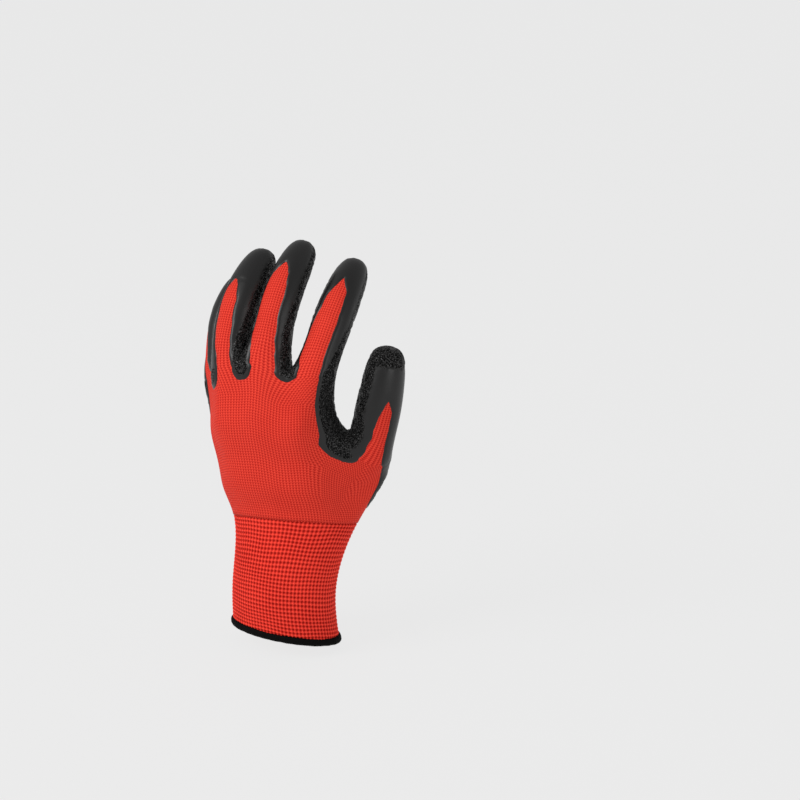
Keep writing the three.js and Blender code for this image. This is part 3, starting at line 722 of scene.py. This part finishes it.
# Each knit gets a lit colour and a darker shaded copy, for painted shade between the yarns and in the rib's holes.
red_knit = knit_material("red_yarn", (0.84, 0.062, 0.036), (0.44, 0.012, 0.008), 0.9, 1.0, 0.35, 0.22)
red_rib = knit_material("red_rib_yarn", (0.96, 0.060, 0.036), (0.33, 0.005, 0.003), 0.0, 1.0, 0.15, 0.35)
print("knit materials:", red_knit.name, red_rib.name)

# %% [markdown]
# ## The knit shell
# The shell is seamless knit, so it's one closed wall: the smooth net outside, the same net a wall
# deeper inside, and a strip round the wrist that joins both. Its loops are left to the material.

# %% Outer skin, inner skin and the lip between them
SHELL_WALL = 1.2


def of_part(level, chosen):
    """A level's points, the chosen faces and their stitch numbers, and outward directions."""
    points, faces, squares, source = level
    stitches = np.stack([squares[..., 2], squares[..., 1] * ABOUT[source, 3][:, None]], 2)
    return points, faces[chosen], stitches[chosen], outward(points, faces)


def packed(points, *groups):
    """Leaves out unused points, and numbers the faces of each group anew."""
    used = np.unique(np.concatenate([group.ravel() for group in groups]))
    number = np.zeros(len(points), int)
    number[used] = np.arange(len(used))
    return used, [face for group in groups for face in number[group].tolist()]


def knit_shell():
    """The skin and the skin less the wall, joined along the edges that only one face has."""
    points, faces, stitches, normals = of_part(MEDIUM, ABOUT[MEDIUM[3], 0] != CUFF)
    n = len(points)
    edges = np.stack([faces, np.roll(faces, -1, 1)], 2).reshape(-1, 2)
    _, place, count = np.unique(np.sort(edges, 1) @ [n, 1], return_inverse=True, return_counts=True)
    a, b = edges[count[place] == 1].T
    every = np.vstack([points, points - normals * SHELL_WALL])
    used, numbered = packed(every, faces, faces[:, ::-1] + n, np.column_stack([b, a, a + n, b + n]))
    uv = np.vstack([stitches.reshape(-1, 2), stitches[:, ::-1].reshape(-1, 2), np.zeros((4 * len(a), 2))])
    return every[used], numbered, uv


shell_points, shell_faces, shell_stitches = knit_shell()
make_piece("knitted_shell", shell_points, shell_faces, "knit_shell", red_knit, shell_stitches)

# %% [markdown]
# ## The latex coat
# The coat is poured skin: smooth and satin near its edge, crinkled where the wet latex was washed to
# give grip, with a thick rounded edge. It could be a second material on the knit, but a real layer
# gives the step that catches light. It is cut from the fine net along the zero line.

# %% Cutting a net along a zero line
def cut_net(points, faces, value):
    """Keeps what lies where value > 0. Whole faces stay, the others are cut as triangles, at the
    share value_a / (value_a - value_b) of an edge from a to b. Returns parents and shares."""
    inside = value > 0
    count = inside[faces].sum(1)
    whole = faces[count == 4]
    mixed = faces[(count > 0) & (count < 4)]
    triangles = np.vstack([mixed[:, [0, 1, 2]], mixed[:, [0, 2, 3]]])
    n = len(points)
    has = inside[triangles].sum(1)

    def turned(chosen, wanted):
        rows = triangles[chosen]
        lead = np.argmax(inside[rows] == wanted, 1)
        return rows[np.arange(len(rows))[:, None], (lead[:, None] + np.arange(3)) % 3]

    one, two, three = turned(has == 1, True), turned(has == 2, False), triangles[has == 3]
    cuts = np.vstack([one[:, [0, 1]], one[:, [0, 2]], two[:, [0, 1]], two[:, [0, 2]]])
    low, high = np.sort(cuts, 1).T
    keys, place = np.unique(low * n + high, return_inverse=True)
    a, b = keys // n, keys % n
    share = value[a] / (value[a] - value[b])
    place = place + n
    i, j = len(one), len(two)
    corner = np.column_stack([one[:, 0], place[:i], place[i : 2 * i]])
    slab = np.column_stack([place[2 * i : 2 * i + j], two[:, 1], two[:, 2], place[2 * i + j :]])
    return whole, np.vstack([three, corner]), slab, (a, b, np.clip(share, 0.02, 0.98))


# %% The coat's thickness and crinkle
LATEX_LIFT, RIM_LIFT, LATEX_TUCK, CRINKLE = 1.0, 0.7, -0.35, 0.36
EDGE_WAVES = ((9, 0.18), (3.6, 0.08))


def latex_coat():
    """Skin plus, along the normal, a lift that rounds up from the edge, thickens over six millimetres
    and carries crinkles of two sizes that fade in a little way from the edge."""
    points, faces, _, normals = of_part(FINE, ABOUT[FINE[3], 0] != CUFF)
    edge = COAT + sum(high * ripples(points, long, seed=3) for long, high in EDGE_WAVES)
    whole, triangles, slabs, (a, b, share) = cut_net(points, faces, edge)

    def carry(values):
        part = share[:, None] if values.ndim > 1 else share
        return np.concatenate([values, values[a] * (1 - part) + values[b] * part])

    skin, out, rough = carry(points), carry(normals), carry(CRINKLED)
    deep = np.concatenate([edge, np.zeros(len(a))])
    rough = rough * smooth_step(0.8, 2, deep)
    folds = np.clip(1 - np.abs(ripples(skin, 6.5, seed=11) + 0.4 * ripples(skin, 2.8, seed=12)), -0.8, 1)
    lift = LATEX_TUCK + (RIM_LIFT - LATEX_TUCK) * np.sqrt(smooth_step(-0.4, 1.6, deep))
    lift = lift + (LATEX_LIFT - RIM_LIFT) * smooth_step(1, 6, deep)
    made = skin + out * (lift + CRINKLE * rough * folds)[:, None]
    used, numbered = packed(made, whole, slabs, triangles)
    return made[used], numbered, rough[used]


# %% [markdown]
# ## The look of latex
# Foamed latex is almost black, a little warm, and shows small bright specks where the crinkle turns
# towards the light. Noise on the object's own coordinates gives the finest grain, and the mark
# that the mesh carries leaves it out where the coat is satin. In the crinkle the grain is painted
# into the colour: painted highlight specks and painted shade in the dark pits between them. The same
# grain also raises the bump and the shine.

# %% Black latex
def latex_material():
    material = bpy.data.materials.new("black_latex")
    tree, out = node_tree(material)
    w = Wires(tree)
    place = w.node("ShaderNodeTexCoord").outputs["Object"]
    mark = w.node("ShaderNodeAttribute", {"attribute_name": "crinkle"}).outputs["Fac"]
    grain = w.node("ShaderNodeTexNoise", Vector=place, Scale=1300.0, Detail=2.0, Roughness=0.6).outputs["Fac"]
    speck = w.math("MINIMUM", w.math("MAXIMUM", w.math("MULTIPLY_ADD", grain, 6.0, -2.7), 0.0), 1.0)
    patch = w.node("ShaderNodeTexNoise", Vector=place, Scale=190.0, Detail=2.0).outputs["Fac"]
    uneven = w.math("SUBTRACT", w.math("MULTIPLY", mark, 3.0), w.math("MULTIPLY_ADD", patch, 3.0, -0.5))
    rough = w.math("MINIMUM", w.math("MAXIMUM", uneven, 0.0), 1.0)
    height = w.math("MULTIPLY", speck, rough)
    relief = w.node("ShaderNodeBump", Height=height, Distance=0.35 * MM, Strength=1.0).outputs[0]
    cloud = w.node("ShaderNodeTexNoise", Vector=place, Scale=45.0, Detail=4.0).outputs["Fac"]
    satin = w.blend(cloud, (0.0020, 0.0019, 0.0019, 1), (0.0060, 0.0057, 0.0057, 1))
    # In the crinkle the grain paints bright highlight specks and dark shade in the pits into the colour.
    painted_glints_and_pits = w.blend(speck, (0.0008, 0.0008, 0.0008, 1), (0.0270, 0.0260, 0.0260, 1))
    shine = w.math("MULTIPLY_ADD", w.math("MULTIPLY", rough, w.math("SUBTRACT", speck, 0.85)), 0.42, 0.40)
    shader = w.node("ShaderNodeBsdfPrincipled", Base_Color=w.blend(rough, satin, painted_glints_and_pits), Roughness=0.38, Normal=relief)
    w.put(shader.inputs["Specular IOR Level"], w.math("MAXIMUM", shine, 0.02))
    tree.links.new(shader.outputs[0], out.inputs["Surface"])
    return material


black_latex = latex_material()
latex_points, latex_faces, latex_crinkle = latex_coat()
marks = {"crinkle": latex_crinkle}
make_piece("latex_dip", latex_points, latex_faces, "latex_coating", black_latex, marks=marks)

# %% [markdown]
# ## The ribbed cuff
# Elastic yarn is laid into each row of the cuff and draws it in, so raised rows alternate with rows
# of small dark holes. A tube with a bump map would look flat at its sides, where the rows show as
# steps. So the cuff is a fine grid on a spline surface through the net's cuff rings.

# %% A spline surface through the cuff's rings
CUFF_WALES, CUFF_ROWS, PER_WALE, PER_ROW = 84, 30, 5, 6
CUFF_WALL, CUFF_TOP = 1.8, 3.04
# Depths in millimetres: between two rows, between two wales and at a hole.
ROW_DEEP, WALE_DEEP, HOLE_DEEP = 0.14, 0.06, 0.45
ROUGH_ROUND, ROUGH_UP = 481, 121


def spline_weights(place, count, closed):
    """Cubic B-spline shares of each control ring at the places, as a matrix."""
    cell = np.floor(place).astype(int)
    f = place - cell
    shares = ((1 - f) ** 3, 3 * f**3 - 6 * f**2 + 4, -3 * f**3 + 3 * f**2 + 3 * f + 1, f**3)
    weights = np.zeros((len(place), count))
    for k, share in enumerate(shares):
        at = cell - 1 + k
        np.add.at(weights, (np.arange(len(place)), at % count if closed else np.clip(at, 0, count - 1)), share / 6)
    return weights


def cuff_control():
    """Rings from below the mouth to above the wrist, one row of corners for each low column."""
    corners = hand_corners()
    rings = [np.array([corners[f"{name} {row}"] for name in LOW_COLUMNS]) for row in (1, 0)]
    for share, *shape in CUFF_RINGS:
        flat = oval(*shape)
        rings.append(np.column_stack([flat, mouth_height(flat) * (1 - share) + wrist_height(flat) * share]))
    rings = rings[::-1]
    return np.array([2 * rings[0] - rings[1], *rings])


CONTROL = cuff_control()


def cuff_surface(u, v):
    """Points at u columns round and v rings up from the mouth, as an array (round, up, xyz)."""
    across = spline_weights(u, len(LOW_COLUMNS), True)
    upward = spline_weights(v + 1, len(CONTROL), False)
    return np.einsum("ua,vb,bak->uvk", across, upward, CONTROL)


def evenly(place, line, count):
    """Values of place at equal lengths along the line."""
    length = np.r_[0, np.cumsum(np.linalg.norm(np.diff(line, axis=0), axis=1))]
    return np.interp(np.linspace(0, length[-1], count + 1), length, place)


# %% Ribs, holes and the inner wall
def grid_faces(round_, up, first=0, flip=False):
    """Faces of a grid that closes round itself, with point (i, j) at i * up + j."""
    i, j = np.meshgrid(np.arange(round_), np.arange(up - 1), indexing="ij")
    k = (i + 1) % round_
    faces = np.stack([i * up + j, k * up + j, k * up + j + 1, i * up + j + 1], -1).reshape(-1, 4) + first
    return faces[:, ::-1] if flip else faces


def grid_outward(grid):
    """Directions out of a closed grid: the step round crossed with the step up."""
    round_ = np.roll(grid, -1, 0) - np.roll(grid, 1, 0)
    cross = np.cross(round_, np.gradient(grid, axis=1))
    return cross / np.linalg.norm(cross, axis=2, keepdims=True)


def rib_relief(u, v):
    """Raised rows cos(2 pi v), and holes at whole u and half v: the 1.5th power of
    (1 + cos(2 pi u)) (1 - cos(2 pi v)) / 4."""
    across, up = np.cos(2 * np.pi * u), np.cos(2 * np.pi * v)
    return ROW_DEEP * (up - 1) - WALE_DEEP * (across + 1) - HOLE_DEEP * ((1 + across) * (1 - up) / 4) ** 1.5


def rib_cuff():
    """Outer grid with ribs, inner grid a wall deeper, and a strip at each end."""
    rough_u, rough_v = np.linspace(0, len(LOW_COLUMNS), ROUGH_ROUND), np.linspace(0, CUFF_TOP, ROUGH_UP)
    u = evenly(rough_u, cuff_surface(rough_u, np.array([1.5]))[:, 0], CUFF_WALES * PER_WALE)[:-1]
    v = evenly(rough_v, cuff_surface(np.array([6.0]), rough_v)[0], CUFF_ROWS * PER_ROW)
    skin = cuff_surface(u, v)
    out = grid_outward(skin)
    stitch_u = np.arange(len(u)) / PER_WALE
    stitch_v = np.arange(len(v)) / PER_ROW
    drift = ripples(skin.reshape(-1, 3), 24, seed=21).reshape(skin.shape[:2])
    number = np.stack(np.broadcast_arrays(stitch_u[:, None] + 0 * drift, stitch_v[None, :] + 0.10 * drift), -1)
    tuck = -0.45 * smooth_step(2.9, CUFF_TOP, v)
    outer = skin + out * (rib_relief(number[..., 0], number[..., 1]) + tuck)[..., None]
    inner = (skin - out * CUFF_WALL)[:: PER_WALE, :: PER_ROW]
    n_u, n_v = outer.shape[:2]
    m_u, m_v = inner.shape[:2]
    first = n_u * n_v
    faces = grid_faces(n_u, n_v)
    back = grid_faces(m_u, m_v, first, flip=True)
    steps = (np.arange(m_u)[:, None] * PER_WALE + np.arange(PER_WALE + 1)) % n_u
    near, far = first + np.arange(m_u) * m_v, first + ((np.arange(m_u) + 1) % m_u) * m_v
    bottom = np.column_stack([far, near, steps * n_v])
    top = np.column_stack([near + m_v - 1, far + m_v - 1, steps[:, ::-1] * n_v + n_v - 1])
    flat = number.reshape(-1, 2)
    uv = flat[faces]
    # The last column closes on the first, whose stitch number is a full turn more.
    last = faces[:, 1] < faces[:, 0]
    uv[last, 1:3, 0] += CUFF_WALES
    inner_uv = np.zeros((back.size + bottom.size + top.size, 2))
    points = np.vstack([outer.reshape(-1, 3), inner.reshape(-1, 3)])
    all_faces = [*faces.tolist(), *back.tolist(), *bottom.tolist(), *top.tolist()]
    return points, all_faces, np.vstack([uv.reshape(-1, 2), inner_uv])


cuff_points, cuff_faces, cuff_stitches = rib_cuff()
make_piece("rib_cuff", cuff_points, cuff_faces, "knit_cuff", red_rib, cuff_stitches)

# %% [markdown]
# ## The overlocked edge
# A row of black thread wraps the mouth so that the ribs can't run. It could be one bent cord for
# each stitch, but the threads lie so tight that a rounded band with slanting grooves shows the same.

# %% Black thread round the mouth
EDGE_THREADS, PER_THREAD, EDGE_STEPS = 190, 6, 28
# Threads that a groove passes on its way once round the band.
EDGE_SLANT = 3
EDGE = {"out": -0.9, "high": 1.35, "wide": 1.95, "tall": 2.45}


def overlock_edge():
    """A closed profile (out + wide cos s, high + tall sin s), squared a little, carried round the
    mouth. Threads raise it by |cos(pi (count + slant x s / 2 pi))|."""
    u = np.linspace(0, len(LOW_COLUMNS), EDGE_THREADS * PER_THREAD + 1)[:-1]
    skin = cuff_surface(u, np.array([0, 0.05]))
    rim, up = skin[:, 0], skin[:, 1] - skin[:, 0]
    up /= np.linalg.norm(up, axis=1, keepdims=True)
    out = np.cross(np.roll(rim, -1, 0) - np.roll(rim, 1, 0), up)
    out /= np.linalg.norm(out, axis=1, keepdims=True)
    s = np.linspace(0, 2 * np.pi, EDGE_STEPS + 1)[:-1]
    thread = np.abs(np.cos(np.pi * (np.arange(len(u))[:, None] / PER_THREAD + EDGE_SLANT * s / (2 * np.pi))))
    swell = 0.22 * (thread**0.6 - 0.5) + 0.05 * ripples(rim, 5, seed=31)[:, None]
    squared = lambda x: np.sign(x) * np.abs(x) ** 0.75
    side = EDGE["out"] + (EDGE["wide"] + swell) * squared(np.cos(s))
    high = EDGE["high"] + (EDGE["tall"] + swell) * squared(np.sin(s))
    grid = rim[:, None] + side[..., None] * out[:, None] + high[..., None] * up[:, None]
    n_u, n_v = grid.shape[:2]
    i, j = np.meshgrid(np.arange(n_u), np.arange(n_v), indexing="ij")
    k, l = (i + 1) % n_u, (j + 1) % n_v
    faces = np.stack([i * n_v + j, k * n_v + j, k * n_v + l, i * n_v + l], -1).reshape(-1, 4)
    return grid.reshape(-1, 3), faces.tolist(), thread.reshape(-1)


def thread_material():
    """Black polyester thread with a painted highlight: greyer on top of each turn, broken up by fibre noise."""
    material = bpy.data.materials.new("black_thread")
    tree, out = node_tree(material)
    w = Wires(tree)
    place = w.node("ShaderNodeTexCoord").outputs["Object"]
    top = w.node("ShaderNodeAttribute", {"attribute_name": "thread"}).outputs["Fac"]
    fibre = w.node("ShaderNodeTexNoise", Vector=place, Scale=900.0, Detail=2.0).outputs["Fac"]
    # Painted highlight: the crest of each turn, times fibre noise, makes the black greyer.
    colour = w.blend(w.math("MULTIPLY", top, fibre), (0.0008, 0.0008, 0.0008, 1), (0.0040, 0.0038, 0.0036, 1))
    relief = w.node("ShaderNodeBump", Height=fibre, Distance=0.15 * MM, Strength=1.0).outputs[0]
    shader = w.node("ShaderNodeBsdfPrincipled", Base_Color=colour, Normal=relief, Roughness=0.7)
    shader.inputs["Specular IOR Level"].default_value = 0.06
    tree.links.new(shader.outputs[0], out.inputs["Surface"])
    return material


edge_points, edge_faces, painted_crest_highlight = overlock_edge()
# The crest of each turn, carried to the material for its painted highlight.
marks = {"thread": painted_crest_highlight}
make_piece("overlock_edge", edge_points, edge_faces, "cuff_hem", thread_material(), marks=marks)
